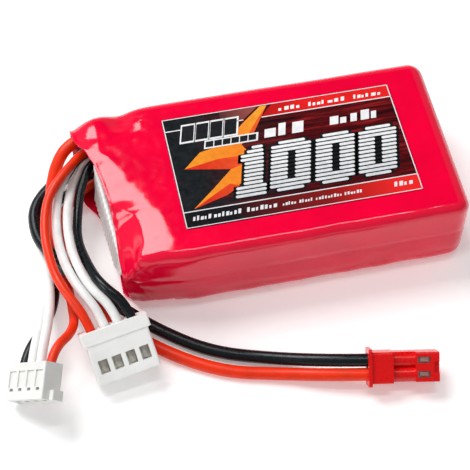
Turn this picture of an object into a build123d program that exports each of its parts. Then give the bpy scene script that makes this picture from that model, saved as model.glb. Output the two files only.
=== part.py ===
from build123d import *
import math
import os

# Three-cell lithium polymer pack, lying flat. Millimetres.
# +X runs along the pack to its closed end, the leads leave at the -X end,
# +Y is the far long side, +Z is up. The origin is under the middle of the pack,
# on the surface it lies on. The leads lie beside the pack and are not in its box.

# ---------------------------------------------------------------- driving sizes
PACK_LENGTH = 67.5
PACK_WIDTH = 35.5
PACK_HEIGHT = 16.5
SLEEVE_WALL = 0.3
EDGE_RADIUS = 3.0
END_X = PACK_LENGTH / 2
TAPER_X = -18.0                 # where the sleeve starts to shrink in towards its mouth
MOUTH_X = -29.5                 # station of the narrowed mouth
SPOUT_X = -36.0                 # the sleeve's sections run on to here, and the lip cuts them

LABEL_LENGTH = 43.0
LABEL_WIDTH = 24.6
LABEL_THICKNESS = 0.08
LABEL_X = 4.3

CELL_COUNT = 3
CELL_THICKNESS = 5.0
CELL_WIDTH = 32.9
CELL_BACK_X = -18.6
CELL_FRONT_X = 32.6
CELL_FLOOR_Z = 0.45
ADHESIVE_THICKNESS = 0.25
TERRACE_LENGTH = 2.2            # sealed flange of a pouch, where its tabs come out
TERRACE_THICKNESS = 0.4
TAB_WIDTH = 5.0
TAB_THICKNESS = 0.2
TAB_Y = 8.5

BOARD_BACK_X = -23.4
BOARD_THICKNESS = 1.0
BOARD_FACE_X = BOARD_BACK_X - BOARD_THICKNESS
BOARD_NEAR_Y = -12.5
BOARD_STEP_Y = 8.6                # beyond this the board stands higher, to carry the main leads
BOARD_FAR_Y = 16.9
BOARD_LOW_Z = 1.4
BOARD_HIGH_Z = 10.6
BOARD_TOP_Z = 13.4
BOARD_CHAMFER = 1.6
SOLDER_HEIGHT = 0.5

BALANCE_DIAMETER = 1.7
MAIN_DIAMETER = 2.3
PITCH = 2.5
WIRE_DEPTH = 3.0                # how far a wire goes into its housing

XH_WIDTH = 11.2
XH_LENGTH = 9.2
XH_HEIGHT = 5.7
XH_COLLAR_WIDTH = 12.3
XH_COLLAR_LENGTH = 2.2
EH_WIDTH = 10.5
EH_LENGTH = 6.4
EH_HEIGHT = 3.8
EH_EAR_WIDTH = 12.4
RCY_LENGTH = 12.3
RCY_WIDTH = 5.2
RCY_REAR_WIDTH = 5.5
RCY_REAR_LENGTH = 4.3
RCY_FLANGE_WIDTH = 6.6

# Each plug: middle of its rear face, then turn about Z, tip about Y and nod about X.
# A plug's own +X is its row of contacts, -Y its mating end and +Z its windowed face.
XH_PLACE = Pos(-32.7, -23.3, 8.0) * Rot(Z=9.0) * Rot(Y=-3.5) * Rot(X=36.0)
EH_PLACE = Pos(-46.6, -28.3, 7.5) * Rot(Z=-35.6) * Rot(Y=-41.3) * Rot(X=27.0)
RCY_PLACE = Pos(9.5, -38.7, 4.1) * Rot(Z=80.0) * Rot(Y=-36.0) * Rot(X=0.0)

# Routes of the wires, from the junction board to the contact, chosen by hand.
ROUTES = {
    "xh_wire_red": [
        (-24.4, 13.2, 11.2), (-30.8, 13.2, 11.2), (-36.5, 7.5, 11.8), (-40, 3.5, 10.7),
        (-41.5, -2.5, 9.9), (-41.5, -8.5, 9.9), (-40.5, -15.5, 11), (-36.75, -22.14, 9.06),
        (-35.91, -26.27, 6.01)],
    "xh_wire_white_1": [
        (-24.4, 15.2, 9), (-31.3, 15.2, 9), (-37.1, 7.4, 9.9), (-38.8, 2.1, 8.6), (-39.5, -4, 8.6),
        (-39, -10, 9), (-37.5, -16, 10.2), (-34.29, -21.75, 9.21), (-33.45, -25.88, 6.16)],
    "xh_wire_white_2": [
        (-24.4, 13.1, 8.2), (-30.6, 13.1, 8.2), (-34.9, 8.2, 8), (-36.8, 1.6, 9),
        (-37.5, -4.5, 9.2), (-37, -10.5, 9.6), (-35.5, -16.5, 10.3), (-31.82, -21.36, 9.37),
        (-30.98, -25.49, 6.32)],
    "xh_wire_black": [
        (-24.4, 11.6, 10), (-30.4, 11.6, 10), (-33.7, 6.3, 8.3), (-35.1, 1.3, 6.9),
        (-36, -4.3, 7.2), (-35, -11, 9), (-33.5, -17, 11.4), (-29.36, -20.97, 9.52),
        (-28.52, -25.09, 6.47)],
    "main_wire_red": [
        (-24.4, 15.2, 12.1), (-30.2, 15.2, 12.1), (-35.5, 13.5, 11.7), (-38.5, 11, 9.9),
        (-40, 7, 7.5), (-40, 2.5, 4.9), (-40, -2.5, 3.7), (-37.8, -10, 3.6), (-33, -18.4, 1.4),
        (-24.7, -26.7, 1.2), (-15, -33, 1.2), (-5, -35.5, 1.3), (4.4, -38.83, 3.37),
        (12.28, -40.22, 3.37)],
    "main_wire_black": [
        (-24.4, 14.4, 6.5), (-31, 14.4, 6.5), (-37.3, 11.4, 5.1), (-42.8, 6.5, 4.75),
        (-43.2, 0, 4.8), (-41.4, -4.8, 5.6), (-39.4, -9, 6.4), (-35.5, -13, 5.6),
        (-30.9, -16.9, 3), (-25, -22, 1.2), (-16.5, -28.5, 1.2), (-6.5, -32, 1.3),
        (4.75, -36.84, 4.83), (12.63, -38.23, 4.83)],
    "eh_wire_red": [
        (-24.4, 10.6, 4.4), (-29.9, 10.6, 4.4), (-35.2, 8.6, 2), (-38.6, 5.2, 0.9),
        (-39, -0.5, 0.9), (-39, -7, 0.9), (-38.9, -14.6, 2.4), (-39, -23.5, 8.6),
        (-43.76, -28.14, 10.66), (-45.13, -32.64, 8.95)],
    "eh_wire_black": [
        (-24.4, 12.4, 2.6), (-30.2, 12.4, 2.6), (-36, 10.8, 0.9), (-40.5, 7.5, 0.9),
        (-40.8, 0.5, 0.9), (-41.1, -6, 0.9), (-41.5, -12.5, 1.8), (-44, -19, 3.8),
        (-48.34, -24.86, 5.71), (-49.72, -29.36, 4)],
    "eh_wire_white_2": [
        (-24.4, 16, 4.4), (-30.8, 16, 4.4), (-36.8, 14.4, 2.8), (-41.5, 10.5, 2.65),
        (-42.5, 4.5, 2.65), (-42.5, -2.5, 2.65), (-42, -10, 3.8), (-43, -19.5, 8),
        (-45.29, -27.05, 9.01), (-46.66, -31.54, 7.3)],
    "eh_wire_white_1": [
        (-24.4, 14.8, 2.6), (-30.8, 14.8, 2.6), (-37.2, 13.4, 1.1), (-42.2, 10, 0.9),
        (-42.7, 3, 0.9), (-43, -3.5, 0.9), (-43, -10.5, 2), (-44.5, -19, 6.4),
        (-46.81, -25.96, 7.36), (-48.19, -30.45, 5.65)],
}
DIAMETERS = {name: MAIN_DIAMETER if name.startswith("main") else BALANCE_DIAMETER for name in ROUTES}


# ---------------------------------------------------------------- small helpers
def block(x0, x1, y0, y1, z0, z1):
    """A box between two corners."""
    middle = Pos((x0 + x1) / 2, (y0 + y1) / 2, (z0 + z1) / 2)
    return middle * Box(x1 - x0, y1 - y0, z1 - z0)


def section(x, near_y, far_y, low_z, near_z, far_z, radius):
    """A rounded four-sided section across X; its top may slope from near to far."""
    corners = [(near_y, low_z), (far_y, low_z), (far_y, far_z), (near_y, near_z)]
    face = Plane.YZ.offset(x) * Polygon(*corners, align=None)
    return fillet(face.vertices(), radius)


def stack_z(index):
    """Height of the underside of one cell of the stack."""
    return CELL_FLOOR_Z + index * (CELL_THICKNESS + ADHESIVE_THICKNESS)


# ---------------------------------------------------------------- sleeve and label
def sleeve_body(inset):
    """The sleeve's solid envelope, drawn in by inset from its outer face."""
    half = PACK_WIDTH / 2 - inset
    radius = EDGE_RADIUS - inset
    full = section(TAPER_X, -half, half, inset, PACK_HEIGHT - inset, PACK_HEIGHT - inset, radius)
    straight = extrude(full, END_X - inset - TAPER_X, dir=(1, 0, 0))
    straight = fillet(straight.faces().sort_by(Axis.X)[-1].edges(), radius)
    mouth = section(MOUTH_X, -16.1 + inset, 17.4 - inset, 0.6 + inset, 9.4 - inset, 14.7 - inset, radius)
    spout = section(SPOUT_X, -15.3 + inset, 16.8 - inset, 0.9 + inset, 7.0 - inset, 13.2 - inset, radius)
    return straight + loft([full, mouth], ruled=True) + loft([mouth, spout], ruled=True)


def lip_cutter():
    """What the curved lip cuts away: in plan it runs out to the spout at the far corner."""
    lip = Spline(
        (-32.9, 20.0), (-33.68, 15.9), (-32.0, 11.0), (-30.3, 4.5), (-29.2, -2.5), (-29.4, -9.0), (-30.2, -20.0))
    outline = lip + Polyline(lip @ 1, (-45.0, -20.0), (-45.0, 20.0), lip @ 0)
    return extrude(make_face(outline), PACK_HEIGHT * 2)


def heat_shrink_sleeve():
    return sleeve_body(0.0) - sleeve_body(SLEEVE_WALL) - lip_cutter()


def label():
    sheet = RectangleRounded(LABEL_LENGTH, LABEL_WIDTH, 0.6)
    return Pos(LABEL_X, 0, PACK_HEIGHT) * extrude(sheet, LABEL_THICKNESS)


# ---------------------------------------------------------------- cells
def pouch_cell(index):
    """One pouch: a rounded slab with the thin sealed terrace at its tab end."""
    z = stack_z(index)
    half = CELL_WIDTH / 2
    slab = block(CELL_BACK_X, CELL_FRONT_X, -half, half, z, z + CELL_THICKNESS)
    slab = fillet(slab.edges().filter_by(Axis.Z), 2.5)
    slab = fillet(slab.edges().filter_by(Plane.XY), 1.5)
    middle = z + CELL_THICKNESS / 2
    terrace = block(
        CELL_BACK_X - TERRACE_LENGTH, CELL_BACK_X + 1.0, 4 - half, half - 4,
        middle - TERRACE_THICKNESS / 2, middle + TERRACE_THICKNESS / 2)
    return slab + terrace


def cell_adhesive(index):
    z = stack_z(index) + CELL_THICKNESS
    return block(-14.0, 28.0, -13.0, 13.0, z, z + ADHESIVE_THICKNESS)


def cell_tab(index, side):
    """A flat tab from a cell's terrace, bent to meet the back of the junction board."""
    start_x = CELL_BACK_X - TERRACE_LENGTH
    start_z = stack_z(index) + CELL_THICKNESS / 2
    board_z = (3.4, 6.4, 9.4)[index]
    half = TAB_THICKNESS / 2
    outline = Polyline(
        (start_x, start_z - half), (start_x - 0.8, start_z - half), (BOARD_BACK_X + 0.6, board_z - half),
        (BOARD_BACK_X, board_z - half), (BOARD_BACK_X, board_z + half), (BOARD_BACK_X + 0.6, board_z + half),
        (start_x - 0.8, start_z + half), (start_x, start_z + half), close=True)
    strip = extrude(Plane.XZ * make_face(outline), TAB_WIDTH / 2, both=True)
    return Pos(0, side * TAB_Y, 0) * strip


def wrap_tape():
    """A thin band of polyester tape round the stack of cells."""
    gap = 0.02
    thickness = 0.06
    top = stack_z(CELL_COUNT - 1) + CELL_THICKNESS
    half = CELL_WIDTH / 2
    rings = []
    for grow in (gap + thickness, gap):
        rings.append(section(
            4.0, -half - grow, half + grow, CELL_FLOOR_Z - grow, top + grow, top + grow, 1.5 + grow))
    return extrude(rings[0] - rings[1], 12.0, dir=(1, 0, 0))


# ---------------------------------------------------------------- wire end of the pack
def junction_board():
    """Board across the tab end; it joins the cells in series and carries every lead."""
    outline = Polyline(
        (BOARD_NEAR_Y, BOARD_LOW_Z), (BOARD_FAR_Y - BOARD_CHAMFER, BOARD_LOW_Z),
        (BOARD_FAR_Y, BOARD_LOW_Z + BOARD_CHAMFER), (BOARD_FAR_Y, BOARD_TOP_Z), (BOARD_STEP_Y, BOARD_TOP_Z),
        (BOARD_STEP_Y, BOARD_HIGH_Z), (BOARD_NEAR_Y, BOARD_HIGH_Z), close=True)
    return extrude(Plane.YZ.offset(BOARD_FACE_X) * make_face(outline), BOARD_THICKNESS)


def board_solder():
    """A ring of solder round every wire where it meets the board's face."""
    upward = (Align.CENTER, Align.CENTER, Align.MIN)
    joints = []
    for name, route in ROUTES.items():
        radius = DIAMETERS[name] / 2
        seat = Plane(origin=route[0], z_dir=(-1, 0, 0))
        ring = Cone(radius + 0.09, radius + 0.04, SOLDER_HEIGHT, align=upward)
        ring -= Cylinder(radius + 0.005, SOLDER_HEIGHT, align=upward)
        joints.append(seat * ring)
    return Compound(children=joints)


def tab_insulator():
    """Insulating sheet under the tabs, turned up against the terraces."""
    low = block(-25.0, -19.4, -13.0, 13.0, 1.0, 1.2)
    rise = block(-19.6, -19.4, -13.0, 13.0, 1.2, 1.7)
    return low + rise


def end_board():
    """White fibre board across the open end, just behind the sleeve's lip; it stops short of the leads."""
    thickness = 0.9
    outline = Polyline((-14.4, 1.9), (7.6, 1.9), (7.6, 11.9), (-14.4, 8.6), close=True)
    board = extrude(Plane.YZ.offset(-thickness / 2) * make_face(outline), thickness)
    return Pos(-29.35, 0, 0) * Rot(Z=4.5) * board


# ---------------------------------------------------------------- wires
def arc_radii(points):
    """Largest tangent arc for each corner of a route: 0.45 of its shorter run."""
    radii = []
    for before, corner, after in zip(points, points[1:], points[2:]):
        run_in = corner - before
        run_out = after - corner
        turn = math.radians(run_in.get_angle(run_out))
        radii.append(0.45 * min(run_in.length, run_out.length) / math.tan(turn / 2))
    return radii


def wire(name):
    """A round wire along its route: straight runs joined by tangent arcs."""
    points = [Vector(*point) for point in ROUTES[name]]
    radii = arc_radii(points)
    path = FilletPolyline(*points, radius=radii)
    start = Plane(origin=points[0], z_dir=points[1] - points[0])
    tube = sweep(start * Circle(DIAMETERS[name] / 2), path=path)
    expected = math.pi * DIAMETERS[name] ** 2 / 4 * path.length
    print(f"{name}: length {path.length:.1f}, volume {tube.volume / expected:.4f} of section x length, radii",
          " ".join(f"{radius:.1f}" for radius in radii))
    return tube


# ---------------------------------------------------------------- plugs
def row(count, pitch=PITCH):
    """Places of a row of contacts, centred."""
    return [(index - (count - 1) / 2) * pitch for index in range(count)]


def xh_housing():
    """Four-way 2.5 mm plug: a boxy body, a wider collar at the wire end, four latch windows."""
    half = XH_WIDTH / 2
    deep = XH_HEIGHT / 2
    body = block(-half, half, -XH_LENGTH, 0, -deep, deep)
    body = fillet(body.edges().filter_by(Axis.Y), 0.35)
    collar = block(-XH_COLLAR_WIDTH / 2, XH_COLLAR_WIDTH / 2, -XH_COLLAR_LENGTH, 0, -deep - 0.1, deep + 0.1)
    shell = body + fillet(collar.edges().filter_by(Axis.Y), 0.3)
    for x in row(4):
        shell -= block(x - 1.0, x + 1.0, -8.7, 0, -1.05, 1.05)
        shell -= block(x - 0.5, x + 0.5, -XH_LENGTH, -8.7, -0.5, 0.5)
        shell -= block(x - 0.85, x + 0.85, -7.6, -5.1, 1.05, deep)
    for x in (-3.4, 3.4):
        shell -= block(x - 0.6, x + 0.6, -XH_LENGTH, -7.2, -deep, -2.2)
    return XH_PLACE * shell


def xh_terminal(x):
    """Crimp contact: a box round the pin and a latch tongue under the window."""
    box = block(x - 0.8, x + 0.8, -8.5, -4.0, -0.9, 0.9)
    box -= block(x - 0.5, x + 0.5, -8.5, -4.4, -0.5, 0.5)
    barrel = block(x - 0.6, x + 0.6, -4.0, -WIRE_DEPTH, -0.7, 0.7)
    tongue = block(x - 0.35, x + 0.35, -7.3, -5.4, 0.9, 1.2)
    return XH_PLACE * (box + barrel + tongue)


def eh_housing():
    """Thin four-way 2.5 mm plug with guide ears at its mating end."""
    half = EH_WIDTH / 2
    deep = EH_HEIGHT / 2
    body = block(-half, half, -EH_LENGTH, 0, -deep, deep)
    body = fillet(body.edges().filter_by(Axis.Y), 0.25)
    ears = block(-EH_EAR_WIDTH / 2, EH_EAR_WIDTH / 2, -EH_LENGTH, -4.7, -deep, 0.4)
    shell = body + fillet(ears.edges().filter_by(Axis.Y), 0.25)
    for x in row(4):
        shell -= block(x - 0.98, x + 0.98, -5.8, 0, -0.98, 0.98)
        shell -= block(x - 0.5, x + 0.5, -EH_LENGTH, -5.8, -0.5, 0.5)
        shell -= block(x - 0.95, x + 0.95, -4.3, -1.4, 1.65, deep)
        shell -= block(x - 0.45, x + 0.45, -4.9, -4.4, 0.98, deep)
    return EH_PLACE * shell


def eh_terminal(x):
    """Crimp contact of the thin plug."""
    box = block(x - 0.75, x + 0.75, -5.6, -3.7, -0.8, 0.8)
    box -= block(x - 0.45, x + 0.45, -5.6, -4.1, -0.45, 0.45)
    barrel = block(x - 0.55, x + 0.55, -3.7, -WIRE_DEPTH, -0.6, 0.6)
    return EH_PLACE * (box + barrel)


def rcy_housing():
    """Two-way power plug: rear block with a flange, two rounded channels, two windows."""
    half = RCY_WIDTH / 2
    rear_half = RCY_REAR_WIDTH / 2
    flange_half = RCY_FLANGE_WIDTH / 2
    rear = block(-rear_half, rear_half, -RCY_REAR_LENGTH, 0, -2.5, 2.2)
    rear = fillet(rear.edges().filter_by(Axis.Y), 0.4)
    flange = block(-flange_half, flange_half, -0.6, 0, -2.7, 2.5)
    flange = fillet(flange.edges().filter_by(Axis.Y), 0.5)
    body = block(-half, half, -RCY_LENGTH, -RCY_REAR_LENGTH, -2.2, 0.6)
    nose = block(-half, half, -RCY_LENGTH, -8.2, -2.2, 2.0)
    shell = rear + flange + body + fillet(nose.edges().filter_by(Axis.Y), 0.3)
    for x in row(2):
        shell += Pos(x, -6.3, 0.25) * Rot(X=90) * Cylinder(1.35, 4.2)
    for x in row(2):
        shell -= block(x - 0.95, x + 0.95, -11.7, -3.2, -1.0, 0.9)
        shell -= block(x - 0.6, x + 0.6, -10.8, -8.5, 0.9, 2.0)
        shell -= block(x - 0.5, x + 0.5, -RCY_LENGTH, -11.7, -0.5, 0.5)
    wire_room = Rot(X=90) * extrude(SlotOverall(4.9, 2.4), 3.4)
    shell -= wire_room
    shell -= block(-0.9, 0.9, -RCY_LENGTH, -11.4, 1.6, 2.0)
    return RCY_PLACE * shell


def rcy_terminal(x):
    """Crimp contact of the power plug."""
    box = block(x - 0.8, x + 0.8, -11.5, -6.6, -0.8, 0.7)
    box -= block(x - 0.5, x + 0.5, -11.5, -7.2, -0.5, 0.4)
    barrel = block(x - 0.7, x + 0.7, -6.6, -WIRE_DEPTH, -0.7, 0.6)
    tongue = block(x - 0.35, x + 0.35, -10.4, -9.0, 0.7, 1.1)
    return RCY_PLACE * (box + barrel + tongue)


# ---------------------------------------------------------------- assembly
def build_nodes():
    nodes = {
        "heat_shrink_sleeve": heat_shrink_sleeve(),
        "label": label(),
        "wrap_tape": wrap_tape(),
        "tab_insulator": tab_insulator(),
        "junction_board": junction_board(),
        "board_solder": board_solder(),
        "end_board": end_board(),
        "xh_housing": xh_housing(),
        "eh_housing": eh_housing(),
        "rcy_housing": rcy_housing(),
    }
    for index in range(CELL_COUNT):
        nodes[f"cell_{index + 1}"] = pouch_cell(index)
        nodes[f"cell_{index + 1}_tab_positive"] = cell_tab(index, 1 if index % 2 else -1)
        nodes[f"cell_{index + 1}_tab_negative"] = cell_tab(index, -1 if index % 2 else 1)
    for index in range(CELL_COUNT - 1):
        nodes[f"cell_adhesive_{index + 1}"] = cell_adhesive(index)
    for number, x in enumerate(row(4), 1):
        nodes[f"xh_terminal_{number}"] = xh_terminal(x)
        nodes[f"eh_terminal_{number}"] = eh_terminal(x)
    for number, x in enumerate(row(2), 1):
        nodes[f"rcy_terminal_{number}"] = rcy_terminal(x)
    for name in ROUTES:
        nodes[name] = wire(name)
    return nodes


def main():
    os.makedirs("parts", exist_ok=True)
    for name, shape in build_nodes().items():
        export_step(shape, f"parts/{name}.step")


main()
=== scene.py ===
"""Looks of a three-cell lithium polymer pack, in metres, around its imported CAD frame."""
import math

import bpy
import numpy as np
from mathutils import Matrix, Vector, geometry, noise


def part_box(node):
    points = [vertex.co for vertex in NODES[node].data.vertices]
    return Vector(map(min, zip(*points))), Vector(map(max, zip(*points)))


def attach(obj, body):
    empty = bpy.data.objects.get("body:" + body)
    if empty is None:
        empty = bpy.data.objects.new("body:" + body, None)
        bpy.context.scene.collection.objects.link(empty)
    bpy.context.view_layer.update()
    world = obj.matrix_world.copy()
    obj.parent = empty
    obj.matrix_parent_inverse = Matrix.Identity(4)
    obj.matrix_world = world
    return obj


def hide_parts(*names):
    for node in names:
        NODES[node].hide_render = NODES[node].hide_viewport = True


MM = 0.001
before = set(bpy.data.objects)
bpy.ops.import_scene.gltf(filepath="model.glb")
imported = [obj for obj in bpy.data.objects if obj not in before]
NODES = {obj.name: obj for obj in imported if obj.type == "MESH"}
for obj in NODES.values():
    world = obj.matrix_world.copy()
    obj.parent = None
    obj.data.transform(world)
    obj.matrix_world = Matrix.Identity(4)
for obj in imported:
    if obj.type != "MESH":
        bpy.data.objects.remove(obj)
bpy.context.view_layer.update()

# ------------------------------------------------------------------ camera
AZIMUTH = math.radians(-12.80)
ELEVATION = math.radians(56.28)
ROLL = math.radians(0.935)
CAMERA_AT = Vector((-40.16, -151.69, 226.39)) * MM

camera_data = bpy.data.cameras.new("camera")
camera_data.sensor_width = 36.0
camera_data.lens = 111.08
camera_data.clip_start = 0.01
camera_data.clip_end = 10.0
camera = bpy.data.objects.new("camera", camera_data)
bpy.context.scene.collection.objects.link(camera)
turn = Matrix.Rotation(AZIMUTH, 4, "Z") @ Matrix.Rotation(math.pi / 2 - ELEVATION, 4, "X")
camera.matrix_world = Matrix.Translation(CAMERA_AT) @ turn @ Matrix.Rotation(ROLL, 4, "Z")
bpy.context.scene.camera = camera


# ------------------------------------------------------------------ material helpers
class Paint:
    """A node material that is built up call by call. Lengths of patterns are in millimetres."""

    def __init__(self, name, **sockets):
        self.material = bpy.data.materials.new(name)
        self.material.use_nodes = True
        self.tree = self.material.node_tree
        self.shader = self.tree.nodes["Principled BSDF"]
        for key, value in sockets.items():
            self.shader.inputs[key.replace("_", " ")].default_value = value
        coordinates = self.tree.nodes.new("ShaderNodeTexCoord")
        self.place = coordinates.outputs["Object"]
        self.normal = None

    def node(self, kind, **values):
        made = self.tree.nodes.new(kind)
        for key, value in values.items():
            setattr(made, key, value)
        return made

    def link(self, source, target):
        self.tree.links.new(source, target)

    def stretched(self, stretch):
        mapping = self.node("ShaderNodeMapping")
        mapping.inputs["Scale"].default_value = stretch
        self.link(self.place, mapping.inputs["Vector"])
        return mapping.outputs["Vector"]

    def noise(self, size, detail=2.0, roughness=0.5, stretch=(1, 1, 1), distortion=0.0):
        made = self.node("ShaderNodeTexNoise")
        made.inputs["Scale"].default_value = 1000.0 / size
        made.inputs["Detail"].default_value = detail
        made.inputs["Roughness"].default_value = roughness
        made.inputs["Distortion"].default_value = distortion
        self.link(self.stretched(stretch), made.inputs["Vector"])
        return made.outputs["Fac"]

    def ramp(self, source, stops):
        made = self.node("ShaderNodeValToRGB")
        band = made.color_ramp
        while len(band.elements) < len(stops):
            band.elements.new(0.5)
        for element, (position, colour) in zip(band.elements, stops):
            element.position = position
            element.color = (*colour, 1.0)
        self.link(source, made.inputs["Fac"])
        return made.outputs["Color"]

    def span(self, source, low, high, start=0.3, end=0.7):
        made = self.node("ShaderNodeMapRange")
        for key, value in (("From Min", start), ("From Max", end), ("To Min", low), ("To Max", high)):
            made.inputs[key].default_value = value
        self.link(source, made.inputs["Value"])
        return made.outputs["Result"]

    def mix(self, factor, first, second):
        made = self.node("ShaderNodeMix", data_type="RGBA")
        self.link(factor, made.inputs["Factor"])
        self.link(first, made.inputs["A"])
        self.link(second, made.inputs["B"])
        return made.outputs["Result"]

    def axis(self, index):
        made = self.node("ShaderNodeSeparateXYZ")
        self.link(self.place, made.inputs[0])
        return made.outputs[index]

    def bump(self, source, height, strength=1.0):
        made = self.node("ShaderNodeBump")
        made.inputs["Strength"].default_value = strength
        made.inputs["Distance"].default_value = height * MM
        self.link(source, made.inputs["Height"])
        if self.normal is not None:
            self.link(self.normal, made.inputs["Normal"])
        self.normal = made.outputs["Normal"]

    def colour(self, source):
        self.link(source, self.shader.inputs["Base Color"])

    def roughness(self, source):
        self.link(source, self.shader.inputs["Roughness"])

    def done(self):
        if self.normal is not None:
            self.link(self.normal, self.shader.inputs["Normal"])
        return self.material


def shade(base, amount):
    return tuple(channel * amount for channel in base)


def film_material():
    """Shrunk PVC film: saturated, glossy, with a fine grain and slight thinning of its colour."""
    paint = Paint("red_film", IOR=1.46, Specular_IOR_Level=0.45, Coat_Weight=0.15, Coat_Roughness=0.06)
    base = (0.90, 0.0, 0.040)
    cloud = paint.noise(9.0, detail=3.0)
    paint.colour(paint.ramp(cloud, [(0.3, shade(base, 0.88)), (0.7, base)]))
    paint.roughness(paint.span(paint.noise(1.6, detail=4.0), 0.09, 0.17))
    paint.bump(paint.noise(1.1, detail=3.0, stretch=(0.35, 1, 1)), 0.016)
    paint.bump(paint.noise(3.0, detail=2.0, stretch=(0.5, 1, 1)), 0.014)
    return paint.done()


def wire_material(name, base, sheen=0.3):
    """Soft silicone insulation: satin, faintly dusty, with a very fine skin."""
    paint = Paint(name, IOR=1.42, Specular_IOR_Level=0.42)
    paint.colour(paint.ramp(paint.noise(2.2, detail=4.0), [(0.3, shade(base, 0.86)), (0.7, base)]))
    paint.roughness(paint.span(paint.noise(0.7, detail=3.0), sheen, sheen + 0.14))
    paint.bump(paint.noise(0.16, detail=2.0), 0.004)
    return paint.done()


def nylon_material(name, base, rough=0.36):
    """Moulded nylon: slight flow marks and a fine tool texture."""
    paint = Paint(name, IOR=1.46, Specular_IOR_Level=0.4)
    paint.colour(paint.ramp(paint.noise(3.5, detail=3.0), [(0.3, shade(base, 0.93)), (0.7, base)]))
    paint.roughness(paint.span(paint.noise(0.5, detail=3.0), rough, rough + 0.14))
    paint.bump(paint.noise(0.22, detail=3.0), 0.006)
    return paint.done()


def metal_material(name, base, rough=0.24):
    """Rolled and tinned strip, with rolling lines and a little tarnish."""
    paint = Paint(name, Metallic=1.0)
    paint.colour(paint.ramp(paint.noise(0.8, detail=4.0), [(0.25, shade(base, 0.68)), (0.7, base)]))
    paint.roughness(paint.span(paint.noise(0.35, detail=4.0), rough, rough + 0.22))
    paint.bump(paint.noise(0.12, stretch=(1, 0.1, 1)), 0.004)
    return paint.done()


def fibre_material():
    """White pressed fibre board, matt, with short fibres."""
    paint = Paint("white_fibre", IOR=1.4)
    paint.colour(paint.ramp(paint.noise(0.6, detail=4.0), [(0.3, (0.82, 0.82, 0.80)), (0.7, (0.94, 0.94, 0.93))]))
    paint.roughness(paint.span(paint.noise(0.3, detail=3.0), 0.55, 0.8))
    paint.bump(paint.noise(0.2, detail=4.0, stretch=(1, 1, 0.25)), 0.02)
    return paint.done()


def label_material():
    """Printed label: black at the left, thin lit streaks across a dark red field, a warm bottom strip."""
    paint = Paint("label_print", IOR=1.45, Specular_IOR_Level=0.35)
    streaks = paint.noise(2.6, detail=6.0, roughness=0.72, stretch=(0.16, 2.4, 1))
    field = paint.ramp(
        streaks, [(0.36, (0.006, 0.002, 0.003)), (0.52, (0.075, 0.004, 0.006)), (0.72, (0.42, 0.02, 0.02))])
    black = paint.ramp(paint.noise(1.5, detail=3.0), [(0.3, (0.006, 0.008, 0.010)), (0.7, (0.014, 0.016, 0.019))])
    to_right = paint.span(paint.axis(0), 0.0, 1.0, -0.0125, 0.0075)
    body = paint.mix(to_right, black, field)
    strip = paint.ramp(paint.span(paint.axis(0), 0.0, 1.0, -0.008, 0.022),
                       [(0.0, (0.008, 0.008, 0.010)), (0.55, (0.22, 0.01, 0.01)), (1.0, (0.80, 0.02, 0.02))])
    low = paint.span(paint.axis(1), 1.0, 0.0, -0.00895, -0.0089)
    paint.colour(paint.mix(low, body, strip))
    paint.roughness(paint.span(paint.noise(0.8, detail=3.0), 0.12, 0.22))
    paint.bump(paint.noise(0.4, detail=2.0), 0.004)
    return paint.done()


def ink_material(name, stops, size, direction=1, start=-0.012, end=0.012):
    """Printed ink whose tone runs along one direction of the label, with a slight mottle."""
    paint = Paint(name, IOR=1.45, Specular_IOR_Level=0.35)
    tone = paint.ramp(paint.span(paint.axis(direction), 0.0, 1.0, start, end), stops)
    mottle = paint.ramp(paint.noise(size, detail=3.0), [(0.3, (0.82, 0.82, 0.82)), (0.7, (1.0, 1.0, 1.0))])
    made = paint.node("ShaderNodeMix", data_type="RGBA", blend_type="MULTIPLY")
    made.inputs["Factor"].default_value = 1.0
    paint.link(tone, made.inputs["A"])
    paint.link(mottle, made.inputs["B"])
    paint.colour(made.outputs["Result"])
    paint.roughness(paint.span(paint.noise(0.8, detail=3.0), 0.16, 0.26))
    return paint.done()


FILM = film_material()
WIRE_RED = wire_material("silicone_red", (0.86, 0.032, 0.002))
WIRE_BLACK = wire_material("silicone_black", (0.0015, 0.006, 0.008), 0.22)
WIRE_WHITE = wire_material("silicone_white", (0.87, 0.87, 0.86))
NYLON_WHITE = nylon_material("nylon_white", (0.97, 0.97, 0.95))
NYLON_THIN = nylon_material("nylon_thin_plug", (0.74, 0.745, 0.72))
NYLON_RED = nylon_material("nylon_red", (0.74, 0.0025, 0.003), 0.2)
CONTACT = metal_material("tinned_contact", (0.78, 0.75, 0.68), 0.4)
FIBRE = fibre_material()
LABEL = label_material()
INK_WHITE = ink_material("ink_white", [(0.0, (0.80, 0.80, 0.82)), (1.0, (0.92, 0.92, 0.93))], 1.2)
INK_BARS = ink_material(
    "ink_bars", [(0.0, (0.62, 0.64, 0.67)), (0.5, (0.86, 0.87, 0.88)), (1.0, (0.95, 0.95, 0.95))], 0.9)
INK_RED = ink_material(
    "ink_red", [(0.0, (0.45, 0.008, 0.008)), (0.35, (0.80, 0.015, 0.015)), (1.0, (0.86, 0.02, 0.02))],
    2.0, 0, 0.0, 0.03)
INK_FIRE = ink_material(
    "ink_fire", [(0.0, (0.90, 0.30, 0.02)), (0.45, (0.92, 0.24, 0.02)), (1.0, (0.94, 0.42, 0.04))],
    1.1, 0, -0.012, 0.004)
INK_EMBER = ink_material(
    "ink_ember", [(0.0, (0.72, 0.03, 0.01)), (0.5, (0.84, 0.09, 0.02)), (1.0, (0.88, 0.12, 0.02))],
    1.1, 0, -0.012, 0.004)
INK_SMOKE = ink_material(
    "ink_smoke", [(0.0, (0.03, 0.018, 0.02)), (1.0, (0.30, 0.07, 0.06))], 1.5, 0, -0.008, -0.001)
INK_BLACK = ink_material("ink_black", [(0.0, (0.008, 0.009, 0.011)), (1.0, (0.014, 0.015, 0.018))], 1.2)


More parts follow.
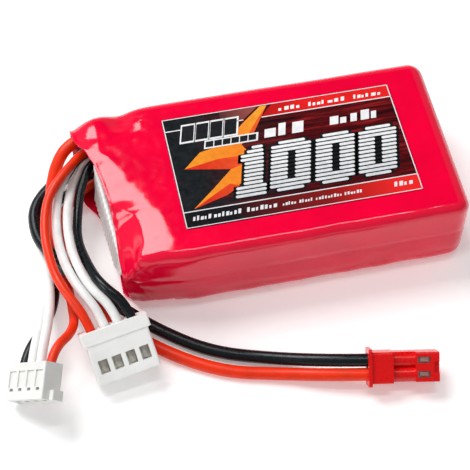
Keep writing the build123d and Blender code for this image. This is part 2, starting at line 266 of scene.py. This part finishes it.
def paint_node(name, material):
    node = NODES[name]
    node.data.materials.clear()
    node.data.materials.append(material)


POUCH = metal_material("pouch_foil", (0.78, 0.79, 0.80), 0.3)
TAB = metal_material("tab_strip", (0.70, 0.69, 0.66), 0.3)
BOARD = nylon_material("board_green", (0.03, 0.14, 0.06), 0.4)
TAPE = nylon_material("polyester_tape", (0.72, 0.55, 0.12), 0.25)
GLUE = nylon_material("adhesive_pad", (0.75, 0.75, 0.70), 0.5)
SOLDER = metal_material("solder", (0.72, 0.72, 0.70), 0.2)
for node_name in NODES:
    if "tab_insulator" in node_name:
        paint_node(node_name, FIBRE)
    elif "_tab_" in node_name:
        paint_node(node_name, TAB)
    elif node_name.startswith("cell_adhesive"):
        paint_node(node_name, GLUE)
    elif node_name.startswith("cell_"):
        paint_node(node_name, POUCH)
    elif "terminal" in node_name:
        paint_node(node_name, CONTACT)
paint_node("junction_board", BOARD)
paint_node("board_solder", SOLDER)
paint_node("wrap_tape", TAPE)
paint_node("xh_housing", NYLON_WHITE)
paint_node("eh_housing", NYLON_THIN)
paint_node("rcy_housing", NYLON_RED)
paint_node("label", LABEL)

# ------------------------------------------------------------------ wires
ROUTES = {
    "xh_wire_red": (1.7, "xh_housing", "xh_terminal_1", [
        (-24.4, 13.2, 11.2), (-30.8, 13.2, 11.2), (-36.5, 7.5, 11.8), (-40, 3.5, 10.7),
        (-41.5, -2.5, 9.9), (-41.5, -8.5, 9.9), (-40.5, -15.5, 11), (-36.75, -22.14, 9.06),
        (-35.91, -26.27, 6.01)]),
    "xh_wire_white_1": (1.7, "xh_housing", "xh_terminal_2", [
        (-24.4, 15.2, 9), (-31.3, 15.2, 9), (-37.1, 7.4, 9.9), (-38.8, 2.1, 8.6), (-39.5, -4, 8.6),
        (-39, -10, 9), (-37.5, -16, 10.2), (-34.29, -21.75, 9.21), (-33.45, -25.88, 6.16)]),
    "xh_wire_white_2": (1.7, "xh_housing", "xh_terminal_3", [
        (-24.4, 13.1, 8.2), (-30.6, 13.1, 8.2), (-34.9, 8.2, 8), (-36.8, 1.6, 9), (-37.5, -4.5, 9.2),
        (-37, -10.5, 9.6), (-35.5, -16.5, 10.3), (-31.82, -21.36, 9.37), (-30.98, -25.49, 6.32)]),
    "xh_wire_black": (1.7, "xh_housing", "xh_terminal_4", [
        (-24.4, 11.6, 10), (-30.4, 11.6, 10), (-33.7, 6.3, 8.3), (-35.1, 1.3, 6.9), (-36, -4.3, 7.2),
        (-35, -11, 9), (-33.5, -17, 11.4), (-29.36, -20.97, 9.52), (-28.52, -25.09, 6.47)]),
    "main_wire_red": (2.3, "rcy_housing", "rcy_terminal_1", [
        (-24.4, 15.2, 12.1), (-30.2, 15.2, 12.1), (-34.8, 13.7, 11.8), (-37.4, 11, 10.1), (-39.1, 7.2, 7.6),
        (-39.9, 2.5, 4.9), (-40, -2.5, 3.7), (-37.8, -10, 3.6), (-33, -18.4, 1.4), (-24.7, -26.7, 1.2),
        (-15, -33, 1.2), (-5, -35.5, 1.3), (4.4, -38.83, 3.37), (12.28, -40.22, 3.37)]),
    "main_wire_black": (2.3, "rcy_housing", "rcy_terminal_2", [
        (-24.4, 14.4, 6.5), (-31, 14.4, 6.5), (-37.3, 11.4, 5.1), (-42.8, 6.5, 4.75), (-43.2, 0, 4.8),
        (-41.4, -4.8, 5.6), (-39.4, -9, 6.4), (-35.5, -13, 5.6), (-30.9, -16.9, 3), (-25, -22, 1.2),
        (-16.5, -28.5, 1.2), (-6.5, -32, 1.3), (4.75, -36.84, 4.83), (12.63, -38.23, 4.83)]),
    "eh_wire_red": (1.7, "eh_housing", "eh_terminal_4", [
        (-24.4, 10.6, 4.4), (-29.9, 10.6, 4.4), (-35.2, 8.6, 2), (-38.6, 5.2, 0.9), (-39, -0.5, 0.9),
        (-39, -7, 0.9), (-38.9, -14.6, 2.4), (-39, -23.5, 8.6), (-43.76, -28.14, 10.66),
        (-45.13, -32.64, 8.95)]),
    "eh_wire_black": (1.7, "eh_housing", "eh_terminal_1", [
        (-24.4, 12.4, 2.6), (-30.2, 12.4, 2.6), (-36, 10.8, 0.9), (-40.5, 7.5, 0.9), (-40.8, 0.5, 0.9),
        (-41.1, -6, 0.9), (-41.5, -12.5, 1.8), (-44, -19, 3.8), (-48.34, -24.86, 5.71),
        (-49.72, -29.36, 4)]),
    "eh_wire_white_2": (1.7, "eh_housing", "eh_terminal_3", [
        (-24.4, 16, 4.4), (-30.8, 16, 4.4), (-36.8, 14.4, 2.8), (-41.5, 10.5, 2.65),
        (-42.5, 4.5, 2.65), (-42.5, -2.5, 2.65), (-42, -10, 3.8), (-43, -19.5, 8),
        (-45.29, -27.05, 9.01), (-46.66, -31.54, 7.3)]),
    "eh_wire_white_1": (1.7, "eh_housing", "eh_terminal_2", [
        (-24.4, 14.8, 2.6), (-30.8, 14.8, 2.6), (-37.2, 13.4, 1.1), (-42.2, 10, 0.9), (-42.7, 3, 0.9),
        (-43, -3.5, 0.9), (-43, -10.5, 2), (-44.5, -19, 6.4), (-46.81, -25.96, 7.36),
        (-48.19, -30.45, 5.65)]),
}


def make_wire(name, points, diameter, material):
    curve = bpy.data.curves.new(name, "CURVE")
    curve.dimensions = "3D"
    curve.bevel_depth = diameter / 2 * MM
    curve.bevel_resolution = 7
    curve.use_fill_caps = True
    spline = curve.splines.new("NURBS")
    spline.points.add(len(points) - 1)
    for point, place in zip(spline.points, points):
        point.co = (*(Vector(place) * MM), 1.0)
    spline.order_u = 3
    spline.use_endpoint_u = True
    spline.resolution_u = 16
    wire = bpy.data.objects.new(name + "_lead", curve)
    bpy.context.scene.collection.objects.link(wire)
    curve.materials.append(material)
    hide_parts(name)
    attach(wire, "root")


for wire_name, (wire_diameter, plug_node, contact_node, wire_points) in ROUTES.items():
    wire_finish = WIRE_RED if "red" in wire_name else WIRE_BLACK if "black" in wire_name else WIRE_WHITE
    make_wire(wire_name, wire_points, wire_diameter, wire_finish)


# ------------------------------------------------------------------ mesh helper
def make_piece(name, vertices, faces, material, smooth=True, replaces=()):
    mesh = bpy.data.meshes.new(name)
    mesh.from_pydata([tuple(Vector(v) * MM) for v in vertices], [], faces)
    mesh.update()
    if smooth:
        mesh.polygons.foreach_set("use_smooth", [True] * len(mesh.polygons))
    mesh.materials.append(material)
    piece = bpy.data.objects.new(name, mesh)
    bpy.context.scene.collection.objects.link(piece)
    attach(piece, "root")
    if replaces:
        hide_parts(*replaces)
    return piece


def ease(low, high, value):
    t = min(1.0, max(0.0, (value - low) / (high - low)))
    return t * t * (3 - 2 * t)


def bell(value, centre, width):
    return math.exp(-(((value - centre) / width) ** 2))


# ------------------------------------------------------------------ the sleeve
END_X = 33.75
TAPER_X = -18.0
MOUTH_X = -29.5
SPOUT_X = -36.0
EDGE = 3.0
# near y, far y, low z, corner radius of the section at each station; the near top corner is the sharpest
FULL = (-17.75, 17.75, 0.0, EDGE)
MOUTH = (-16.1, 17.4, 0.6, EDGE)
SPOUT = (-15.3, 16.1, 0.9, EDGE)
# places across the pack and the x there: the upper lip, where the top starts to bend, where it folds
LIP = [(-20.0, -29.3), (-11.6, -29.4), (-7.2, -29.2), (-3.3, -29.45), (0.2, -29.9), (5.0, -30.7),
       (8.0, -31.7), (11.5, -33.4), (15.0, -34.0), (20.0, -33.4)]
BEND = [(-20.0, -19.8), (-12.5, -19.2), (-8.5, -19.8), (-5.5, -21.0), (-2.5, -22.7), (1.5, -24.7), (4.2, -26.2),
        (6.5, -28.2), (9.0, -31.2), (11.5, -34.2), (20.0, -36.0)]
FOLD = [(-20.0, -27.2), (-16.0, -26.4), (-12.0, -24.9), (-8.7, -25.0), (-6.8, -25.4), (-5.4, -26.8), (-3.6, -29.0),
        (-1.5, -30.2), (5.0, -31.8), (20.0, -36.0)]
# places across the pack and the height of the lip there
LIP_TOP = [(-20.0, 8.4), (-15.7, 9.0), (-11.6, 10.0), (-7.2, 11.9), (-4.6, 13.6), (-2.6, 14.8), (0.2, 15.2),
           (5.0, 15.4), (11.5, 15.3), (20.0, 14.8)]
TOP = 16.5
MIDDLE_Z = TOP / 2
BEND_SLOPE = 0.40
FILM_WALL = 0.28
STRAIGHT_X = TAPER_X + 2.0       # from here to the closed end the section stays the same
SLOPE_ROWS, STRAIGHT_ROWS, EDGE_ROWS, END_ROWS = 62, 96, 12, 15


def along(table, y):
    """Smooth run through a few points, by the place across the pack."""
    for (y0, x0), (y1, x1) in zip(table, table[1:]):
        if y <= y1:
            share = max(0.0, (y - y0) / (y1 - y0))
            return x0 + (x1 - x0) * (0.35 * ease(0.0, 1.0, share) + 0.65 * share)
    return table[-1][1]


def lip_x(y):
    return along(LIP, y)


def top_height(x, y):
    """Height of the film over the cells' end: flat, then a bend, then a fold and a steeper facet down to the lip."""
    bend, fold, lip = along(BEND, y), along(FOLD, y), along(LIP, y)
    if x >= bend:
        height = TOP
    else:
        run = bend - max(fold, lip) + 0.01
        into = min(bend - x, run)
        height = TOP - BEND_SLOPE * into * into / (2 * run)
        if x < fold:
            fold_height = TOP - BEND_SLOPE * run / 2
            height = fold_height + (along(LIP_TOP, y) - fold_height) * (fold - x) / max(0.6, fold - lip)
        elif x < bend - run:
            height -= BEND_SLOPE * (bend - run - x)
    height -= ease(8.0, 16.0, y) * 1.0 * bell(x, -24.6, 2.3) + ease(4.0, 14.0, y) * 2.0 * ease(-29.0, -35.0, x)
    return max(height, 7.0)


def blend_sizes(first, second, share):
    return [a + (b - a) * share for a, b in zip(first, second)]


def raw_sizes(x):
    if x >= TAPER_X:
        near, far, low, radius = FULL
    elif x >= MOUTH_X:
        near, far, low, radius = blend_sizes(FULL, MOUTH, (TAPER_X - x) / (TAPER_X - MOUTH_X))
    else:
        near, far, low, radius = blend_sizes(MOUTH, SPOUT, (MOUTH_X - x) / (MOUTH_X - SPOUT_X))
    return near, far, low, top_height(x, near + 1.2), top_height(x, far - 1.2), radius


def section_sizes(x):
    """Sizes of the section, with the shoulder and the mouth rounded over a few millimetres."""
    parts = [raw_sizes(x + shift) for shift in (-1.6, -0.8, 0.0, 0.8, 1.6)]
    return [sum(values) / len(parts) for values in zip(*parts)]


SIDES = ((0, 1, 70), (1, 2, 44), (2, 3, 110), (3, 0, 44))
ARC = 12


def section_ring(x, inset=0.0):
    """Points and outward normals round the section, the same number at every station."""
    near, far, low, near_top, far_top, radius = section_sizes(x)
    level = near_top, far_top
    near, far, low = near + inset, far - inset, low + inset
    near_top, far_top = near_top - inset, far_top - inset
    radius = max(0.25, radius - inset)
    corners = [Vector((near, low)), Vector((far, low)), Vector((far, far_top)), Vector((near, near_top))]
    fillets = []
    for index, corner in enumerate(corners):
        bend = radius * (0.6 if index == 3 else 1.0)
        before = (corners[index - 1] - corner).normalized()
        after = (corners[(index + 1) % 4] - corner).normalized()
        half = before.angle(after) / 2
        bisector = (before + after).normalized()
        centre = corner + bisector * (bend / math.sin(half))
        start = corner + before * (bend / math.tan(half)) - centre
        end = corner + after * (bend / math.tan(half)) - centre
        fillets.append((centre, start, end))
    points = []
    for first, second, count in SIDES:
        centre, start, end = fillets[first]
        a0 = math.atan2(start.y, start.x)
        sweep = (math.atan2(end.y, end.x) - a0) % (2 * math.pi)
        for step in range(ARC):
            angle = a0 + sweep * step / ARC
            normal = Vector((math.cos(angle), math.sin(angle)))
            points.append((centre + normal * start.length, normal))
        here = centre + end
        there = fillets[second][0] + fillets[second][1]
        normal = end.normalized()
        for step in range(count):
            points.append((here.lerp(there, step / count), normal))
    if x > TAPER_X or inset:
        return points
    lifted = []
    for place, normal in points:
        share = min(1.0, max(0.0, (place.x - near) / (far - near)))
        lift = top_height(x, place.x) - (level[0] + (level[1] - level[0]) * share)
        lifted.append((place + Vector((0.0, lift * ease(0.25, 0.98, normal.y) * (normal.y > 0))), normal))
    return lifted


RING = len(section_ring(0.0))


def wrinkle(x, y, z, ny, nz):
    """How far the film stands off its plain section here, in millimetres: creases, pleats and slack."""
    top = max(0.0, nz)
    side = max(0.0, -ny)
    loose = ease(-16.5, -22.0, x)
    here = Vector((x, y, z))
    push = 0.07 * noise.noise(here * 0.11 + Vector((4.0, 0.0, 0.0)))
    on_label = ease(-18.6, -17.0, x) * ease(27.6, 26.2, x) * ease(13.4, 12.6, abs(y)) * top
    push = push * (1 - on_label) - 0.05 * on_label
    # pleats running down the slope to the lip
    pleat = noise.noise(Vector((y * 0.42, x * 0.07, 2.0)))
    fine = noise.noise(Vector((y * 1.25, x * 0.22, 7.0)))
    push += loose * (0.07 * pleat + 0.02 * fine) * (0.35 + 0.65 * top)
    # dimples across the slope break up its shine
    push += loose * top * 0.05 * noise.noise(Vector((x * 0.55, y * 0.5, 11.0)))
    # short ragged creases where the curve begins
    ragged = bell(x, -18.6 - 0.07 * (y + 10.0), 1.1) * top
    push += ragged * 0.05 * noise.noise(Vector((x * 0.5, y * 1.6, 21.0)))
    # spout: a dip in the far edge, then a swelling up to the lip
    far = ease(11.0, 16.5, y)
    push += far * max(top, ny, 0.0) * (0.16 * bell(x, -30.4, 2.6) - 0.25 * bell(x, -24.4, 2.1))
    # near side: belly between two slack grooves
    length_wave = noise.noise(Vector((x * 0.16, z * 0.25, 5.0)))
    push += side * (0.14 * length_wave - 0.14 * bell(z, 8.6, 0.8) - 0.10 * bell(z, 3.2, 1.2))
    # near top edge: slight waves along the fold of the film
    edge = bell(y, -16.8, 1.4) * ease(9.0, 14.0, z)
    push += edge * 0.09 * noise.noise(Vector((x * 0.33, 0.0, 8.0)))
    # near lower edge: one soft step
    low_edge = side * ease(5.0, 1.0, z)
    push += low_edge * (0.20 * noise.noise(Vector((x * 0.21, 3.0, 1.0))) - 0.25 * bell(x, -19.5, 1.6))
    # tucks at the near corner of the mouth
    tuck = ease(-22.5, -27.5, x) * ease(-9.0, -14.0, y)
    fold = x * 0.75 + z * 0.42
    push += tuck * (0.26 * abs(math.sin(fold * 1.1)) - 0.16 + 0.06 * math.sin(z * 1.7 + x))
    return push


def film_point(x, index, ring, push_scale=1.0):
    place, normal = ring[index]
    push = wrinkle(x, place.x, place.y, normal.x, normal.y) * push_scale
    low = 0.0 if place.y < 1.0 else 1.0
    if normal.y < -0.5:
        push = min(push, 0.0) * low
    place = place + normal * push
    return Vector((x, place.x, max(0.0, place.y)))


def lip_station(index):
    """Station at which one line of the grid meets the lip; the lower film runs a little further out."""
    x = -30.0
    for _ in range(8):
        place, normal = section_ring(x)[index]
        x = lip_x(place.x)
        if normal.y < 0:
            x -= 1.5 * bell(place.x, 8.0, 3.5)
        x += 0.2 * ease(-13.0, -15.5, place.x) * max(0.0, 9.0 - place.y)
    return max(x, -34.3)


def build_sleeve():
    lips = [lip_station(index) for index in range(RING)]
    vertices, faces = [], []
    shares = [step / SLOPE_ROWS for step in range(SLOPE_ROWS)]
    straight = list(np.linspace(STRAIGHT_X, END_X - EDGE, STRAIGHT_ROWS))
    rings = []
    cache = {}
    for share in shares:
        row = []
        for index in range(RING):
            x = lips[index] + (STRAIGHT_X - lips[index]) * share ** 1.15
            key = round(x, 2)
            if key not in cache:
                cache[key] = section_ring(key)
            point = film_point(x, index, cache[key])
            flare = 0.22 * ease(0.9, 0.0, x - lips[index])
            normal = cache[key][index][1]
            row.append(point + Vector((0.0, normal.x, max(0.0, normal.y))) * flare)
        rings.append(row)
    for x in straight:
        ring = section_ring(x)
        rings.append([film_point(x, index, ring) for index in range(RING)])
    for step in range(1, EDGE_ROWS + 1):
        angle = math.pi / 2 * step / EDGE_ROWS
        x = END_X - EDGE + EDGE * math.sin(angle)
        inset = EDGE * (1 - math.cos(angle))
        ring = section_ring(END_X - EDGE, inset)
        fade = math.cos(angle)
        shift = Vector((x - END_X + EDGE, 0, 0))
        rings.append([film_point(END_X - EDGE, index, ring, fade) + shift for index in range(RING)])
    rim = rings[-1]
    centre = Vector((END_X, 0.0, MIDDLE_Z))
    for step in range(1, END_ROWS + 1):
        keep = 1 - step / (END_ROWS + 0.5)
        row = []
        for point in rim:
            place = centre + (point - centre) * keep
            crease = abs(abs(place.y) / 14.5 - abs(place.z - MIDDLE_Z) / 5.2)
            dent = 0.10 * bell(crease, 0.0, 0.07) + 0.10 * noise.noise(Vector((place.y * 0.2, place.z * 0.3, 1.0)))
            x = END_X - 0.12 * ease(1.0, 0.9, keep) - dent * ease(1.0, 0.85, keep)
            row.append(Vector((x, place.y, place.z)))
        rings.append(row)
    for row in rings:
        vertices.extend(row)
    for r in range(len(rings) - 1):
        for index in range(RING):
            after = (index + 1) % RING
            faces.append((r * RING + index, r * RING + after, (r + 1) * RING + after, (r + 1) * RING + index))
    last = (len(rings) - 1) * RING
    faces.append([last + index for index in reversed(range(RING))])
    sleeve = make_piece("shrunk_sleeve", vertices, faces, FILM, replaces=["heat_shrink_sleeve"])
    wall = sleeve.modifiers.new("wall", "SOLIDIFY")
    wall.thickness = FILM_WALL * MM
    wall.offset = -1.0


build_sleeve()


# ------------------------------------------------------------------ end board
def build_end_board():
    """White board across the open end, ribbed on its outer face, leaning out a little at the foot."""
    across = np.linspace(-13.6, 7.6, 265)
    up = np.linspace(0.0, 1.0, 24)
    outer, inner = [], []
    for y in across:
        top = 8.8 + 3.9 * (y + 14.4) / 22.0
        foot = 1.9 + 5.6 * ease(-7.0, -13.6, y)
        for share in up:
            z = foot + (top - foot) * share
            rib = 0.07 * math.sin(y * 2 * math.pi / 1.15 + z * 0.9)
            face = -29.95 - 0.078 * y - 0.75 * (1 - share) - 0.25 * bell(share, 1.0, 0.12)
            outer.append(Vector((face + rib, y, z)))
            inner.append(Vector((face + 0.95, y, z)))
    count = len(up)
    total = len(outer)
    vertices = outer + inner
    faces = []
    for i in range(len(across) - 1):
        for j in range(count - 1):
            a = i * count + j
            faces.append((a, a + 1, a + count + 1, a + count))
            faces.append((total + a, total + a + count, total + a + count + 1, total + a + 1))
        low, high = i * count, i * count + count - 1
        faces.append((low, low + count, total + low + count, total + low))
        faces.append((high, total + high, total + high + count, high + count))
    for j in range(count - 1):
        first, last = j, (len(across) - 1) * count + j
        faces.append((first, total + first, total + first + 1, first + 1))
        faces.append((last, last + 1, total + last + 1, total + last))
    make_piece("ribbed_end_board", vertices, faces, FIBRE, replaces=["end_board"])


build_end_board()

# ------------------------------------------------------------------ label artwork, cut as thin inked shapes
LABEL_LOW, LABEL_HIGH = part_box("label")
LABEL_TOP = LABEL_HIGH.z / MM
LEFT, RIGHT = LABEL_LOW.x / MM, LABEL_HIGH.x / MM
NEAR, FAR = LABEL_LOW.y / MM, LABEL_HIGH.y / MM


def on_label(u, v):
    """Point on the label by its share of the length and of the width, from the near left corner."""
    return LEFT + (RIGHT - LEFT) * u, NEAR + (FAR - NEAR) * v


def outlines_piece(name, outlines, material, layer=1):
    """Thin closed shapes of ink; each outline is a list of label points, counter-clockwise."""
    vertices, faces = [], []
    top = LABEL_TOP + 0.006 + 0.008 * layer
    for outline in outlines:
        start = len(vertices)
        count = len(outline)
        vertices.extend((x, y, top) for x, y in outline)
        vertices.extend((x, y, LABEL_TOP - 0.02) for x, y in outline)
        flat = [Vector((x, y, 0)) for x, y in outline]
        for triangle in geometry.tessellate_polygon([flat]):
            a, b, c = triangle
            if (flat[b] - flat[a]).cross(flat[c] - flat[a]).z < 0:
                b, c = c, b
            faces.append((start + a, start + b, start + c))
            faces.append((start + count + a, start + count + c, start + count + b))
        for index in range(count):
            after = (index + 1) % count
            faces.append((start + index, start + count + index, start + count + after, start + after))
    make_piece(name, vertices, faces, material, smooth=False)


LEAN = 0.145
MIDDLE = 0.41


def italic(u, v):
    """Point on the label whose place along it leans forward with its height."""
    return on_label(u + LEAN * (v - MIDDLE), v)


def block(u0, u1, v0, v1, place=on_label):
    return [place(u0, v0), place(u1, v0), place(u1, v1), place(u0, v1)]


def pill(u0, u1, v0, v1):
    """A leaning bar with round ends."""
    x0, y0 = italic(u0, v0)
    x1, y1 = italic(u1, v1)
    radius = (y1 - y0) / 2
    middle = (y0 + y1) / 2
    points = []
    for centre, start in ((x1 - radius, -math.pi / 2), (x0 + radius, math.pi / 2)):
        for step in range(9):
            angle = start + math.pi * step / 8
            points.append((centre + radius * math.cos(angle), middle + radius * math.sin(angle)))
    return points


ROWS = 13
DIGITS_LOW, DIGITS_HIGH = 0.190, 0.640
ROW_STEP = (DIGITS_HIGH - DIGITS_LOW) / ROWS


def zero_rows(row):
    if row in (0, ROWS - 1):
        return [(0.18, 0.84)]
    if row in (1, 2, ROWS - 2, ROWS - 3):
        return [(0.0, 1.0)]
    return [(0.0, 0.42), (0.62, 1.0)]


def one_rows(row):
    if row < 3:
        return [(0.0, 1.0)]
    if row == ROWS - 1:
        return [(0.46, 0.82)]
    if row == ROWS - 2:
        return [(0.30, 0.84)]
    if row in (ROWS - 3, ROWS - 4):
        return [(0.10, 0.86)]
    return [(0.24, 0.87)]


DIGITS = ((0.262, 0.388, one_rows), (0.405, 0.575, zero_rows), (0.598, 0.765, zero_rows), (0.785, 0.948, zero_rows))
numerals, backing = [], []
for left, right, shape in DIGITS:
    for row in range(ROWS):
        low = DIGITS_LOW + row * ROW_STEP
        spans = [(left + (right - left) * a, left + (right - left) * b) for a, b in shape(row)]
        numerals += [pill(a, b, low, low + ROW_STEP * 0.70) for a, b in spans]
        backing.append(block(spans[0][0] - 0.013, spans[-1][1] + 0.013, low - 0.012, low + ROW_STEP - 0.002, italic))
outlines_piece("label_numeral_backing", backing, INK_BLACK, 2)
outlines_piece("label_numerals", numerals, INK_BARS, 3)

# a plain zigzag flash in two tones
flash_light = [(0.46, 0.985), (0.375, 0.75), (0.31, 0.66), (0.33, 0.58), (0.30, 0.36), (0.20, 0.235), (0.05, 0.16),
               (0.15, 0.31), (0.24, 0.455), (0.05, 0.52), (0.13, 0.65), (0.24, 0.69), (0.33, 0.84), (0.43, 0.985)]
outlines_piece("label_flash", [[on_label(u, v) for u, v in flash_light[::-1]]], INK_FIRE, 1)
flash_dark = [[(0.05, 0.52), (0.24, 0.455), (0.33, 0.50), (0.31, 0.56), (0.20, 0.565)],
              [(0.05, 0.16), (0.20, 0.235), (0.26, 0.30), (0.22, 0.33)],
              [(0.46, 0.985), (0.375, 0.75), (0.34, 0.72), (0.40, 0.86)]]
outlines_piece("label_flash_shade", [[on_label(u, v) for u, v in part] for part in flash_dark], INK_EMBER, 2)
top_band = ((0.425, 0.885), (0.996, 0.885), (0.996, 0.99), (0.482, 0.99))
top_left = ((0.25, 0.89), (0.35, 0.89), (0.42, 0.99), (0.25, 0.99))
outlines_piece("label_top_band", [[on_label(u, v) for u, v in top_band]], INK_RED, 1)
outlines_piece("label_top_left", [[on_label(u, v) for u, v in top_left]], INK_SMOKE, 1)

white = [block(0.006, 0.994, 0.138, 0.146), block(0.004, 0.072, 0.878, 0.886), block(0.30, 0.345, 0.878, 0.886)]
white += [block(0.425, 0.996, 0.876, 0.884), block(0.002, 0.006, 0.006, 0.994), block(0.994, 0.998, 0.006, 0.994)]
white += [block(0.002, 0.998, 0.004, 0.010), block(0.002, 0.998, 0.990, 0.996)]


def print_line(u0, u1, v0, v1, count, gap=0.22):
    """A word's worth of plain upright blocks that stand in for small print."""
    step = (u1 - u0) / count
    made = []
    for index in range(count):
        wide = step * (1 - gap) * (0.80 + 0.20 * math.sin(index * 2.4 + u0 * 40))
        tall = (v1 - v0) * (0.80 + 0.20 * math.cos(index * 1.7 + u1 * 30))
        made.append(block(u0 + index * step, u0 + index * step + wide, v0, v0 + tall, italic))
    return made


SMALL_PRINT = ((0.430, 0.535, 0.912, 0.950, 4), (0.562, 0.640, 0.912, 0.950, 4), (0.648, 0.735, 0.912, 0.950, 3),
               (0.762, 0.835, 0.912, 0.950, 4), (0.842, 0.897, 0.912, 0.950, 2), (0.085, 0.165, 0.060, 0.100, 5),
               (0.172, 0.290, 0.060, 0.100, 7), (0.310, 0.440, 0.060, 0.100, 7), (0.460, 0.520, 0.062, 0.090, 5),
               (0.530, 0.590, 0.062, 0.090, 5), (0.600, 0.715, 0.062, 0.090, 9), (0.722, 0.800, 0.062, 0.090, 6),
               (0.935, 1.020, 0.062, 0.105, 4))
for line in SMALL_PRINT:
    white += print_line(*line)
white += print_line(0.372, 0.553, 0.685, 0.800, 3, 0.14) + print_line(0.658, 0.885, 0.705, 0.795, 5, 0.16)
outlines_piece("label_white_print", white, INK_WHITE, 3)

# outlined plates in the upper left corner, and a lower strip before them
PLATES = (0.010, 0.072, 0.134, 0.196)
plate_edges = [block(u - 0.006, u + 0.060, 0.752, 0.925, italic) for u in PLATES]
outlines_piece("label_plate_edges", plate_edges, INK_WHITE, 3)
outlines_piece("label_plates", [block(u, u + 0.052, 0.768, 0.910, italic) for u in PLATES], INK_BLACK, 4)
outlines_piece("label_strip_edge", [block(0.112, 0.345, 0.672, 0.748, italic)], INK_WHITE, 4)
strip = [block(0.118 + 0.037 * n, 0.151 + 0.037 * n, 0.684, 0.736, italic) for n in range(6)]
outlines_piece("label_strip", strip, INK_BLACK, 5)


# ------------------------------------------------------------------ floor and light
def floor_material():
    paint = Paint("studio_floor", Roughness=0.8, Emission_Color=(1.0, 1.0, 1.0, 1.0), Emission_Strength=0.22)
    paint.colour(paint.ramp(paint.noise(180.0, detail=2.0), [(0.3, (0.93, 0.93, 0.93)), (0.7, (0.95, 0.95, 0.95))]))
    return paint.done()


floor_mesh = bpy.data.meshes.new("studio_floor")
reach = 3.0
floor_corners = [(-reach, -reach, 0), (reach, -reach, 0), (reach, reach, 0), (-reach, reach, 0)]
floor_mesh.from_pydata(floor_corners, [], [(0, 1, 2, 3)])
floor_mesh.materials.append(floor_material())
floor = bpy.data.objects.new("studio_floor", floor_mesh)
bpy.context.scene.collection.objects.link(floor)


def studio_world():
    """Even pale surroundings with one dark flag above and behind, so the flat top keeps its full colour."""
    world = bpy.data.worlds.new("studio")
    world.use_nodes = True
    nodes, links = world.node_tree.nodes, world.node_tree.links
    direction = nodes.new("ShaderNodeTexCoord")
    dot = nodes.new("ShaderNodeVectorMath")
    dot.operation = "DOT_PRODUCT"
    dot.inputs[1].default_value = Vector((0.06, 0.57, 0.82)).normalized()
    flag = nodes.new("ShaderNodeMapRange")
    flag.interpolation_type = "SMOOTHSTEP"
    for key, value in (("From Min", 0.84), ("From Max", 0.94), ("To Min", 0.30), ("To Max", 0.03)):
        flag.inputs[key].default_value = value
    links.new(direction.outputs["Generated"], dot.inputs[0])
    links.new(dot.outputs["Value"], flag.inputs["Value"])
    links.new(flag.outputs["Result"], nodes["Background"].inputs["Strength"])
    nodes["Background"].inputs["Color"].default_value = (1.0, 1.0, 1.0, 1.0)
    bpy.context.scene.world = world


def soft_box(name, direction, distance, width, height, power, side=(0.0, 1.0, 0.0)):
    """A soft box that looks at the object from a direction; its height runs along the side direction."""
    data = bpy.data.lights.new(name, "AREA")
    data.shape = "RECTANGLE"
    data.size = width
    data.size_y = height
    data.energy = power
    light = bpy.data.objects.new(name, data)
    bpy.context.scene.collection.objects.link(light)
    toward = Vector(direction).normalized()
    across = Vector(side).cross(toward).normalized()
    upward = toward.cross(across)
    facing = Matrix((across, upward, toward)).transposed().to_4x4()
    light.matrix_world = Matrix.Translation(toward * distance + Vector((-0.01, 0.0, 0.012))) @ facing


studio_world()
soft_box("overhead", (0.06, -0.02, 1.0), 0.9, 0.42, 0.06, 1.4)
soft_box("left_back", (-0.33, 0.45, 0.81), 0.9, 0.50, 0.46, 6.8)
soft_box("left", (-0.93, -0.20, 0.40), 1.0, 0.40, 0.30, 2.6)
bpy.context.scene.view_settings.view_transform = "Standard"
bpy.context.scene.view_settings.look = "None"
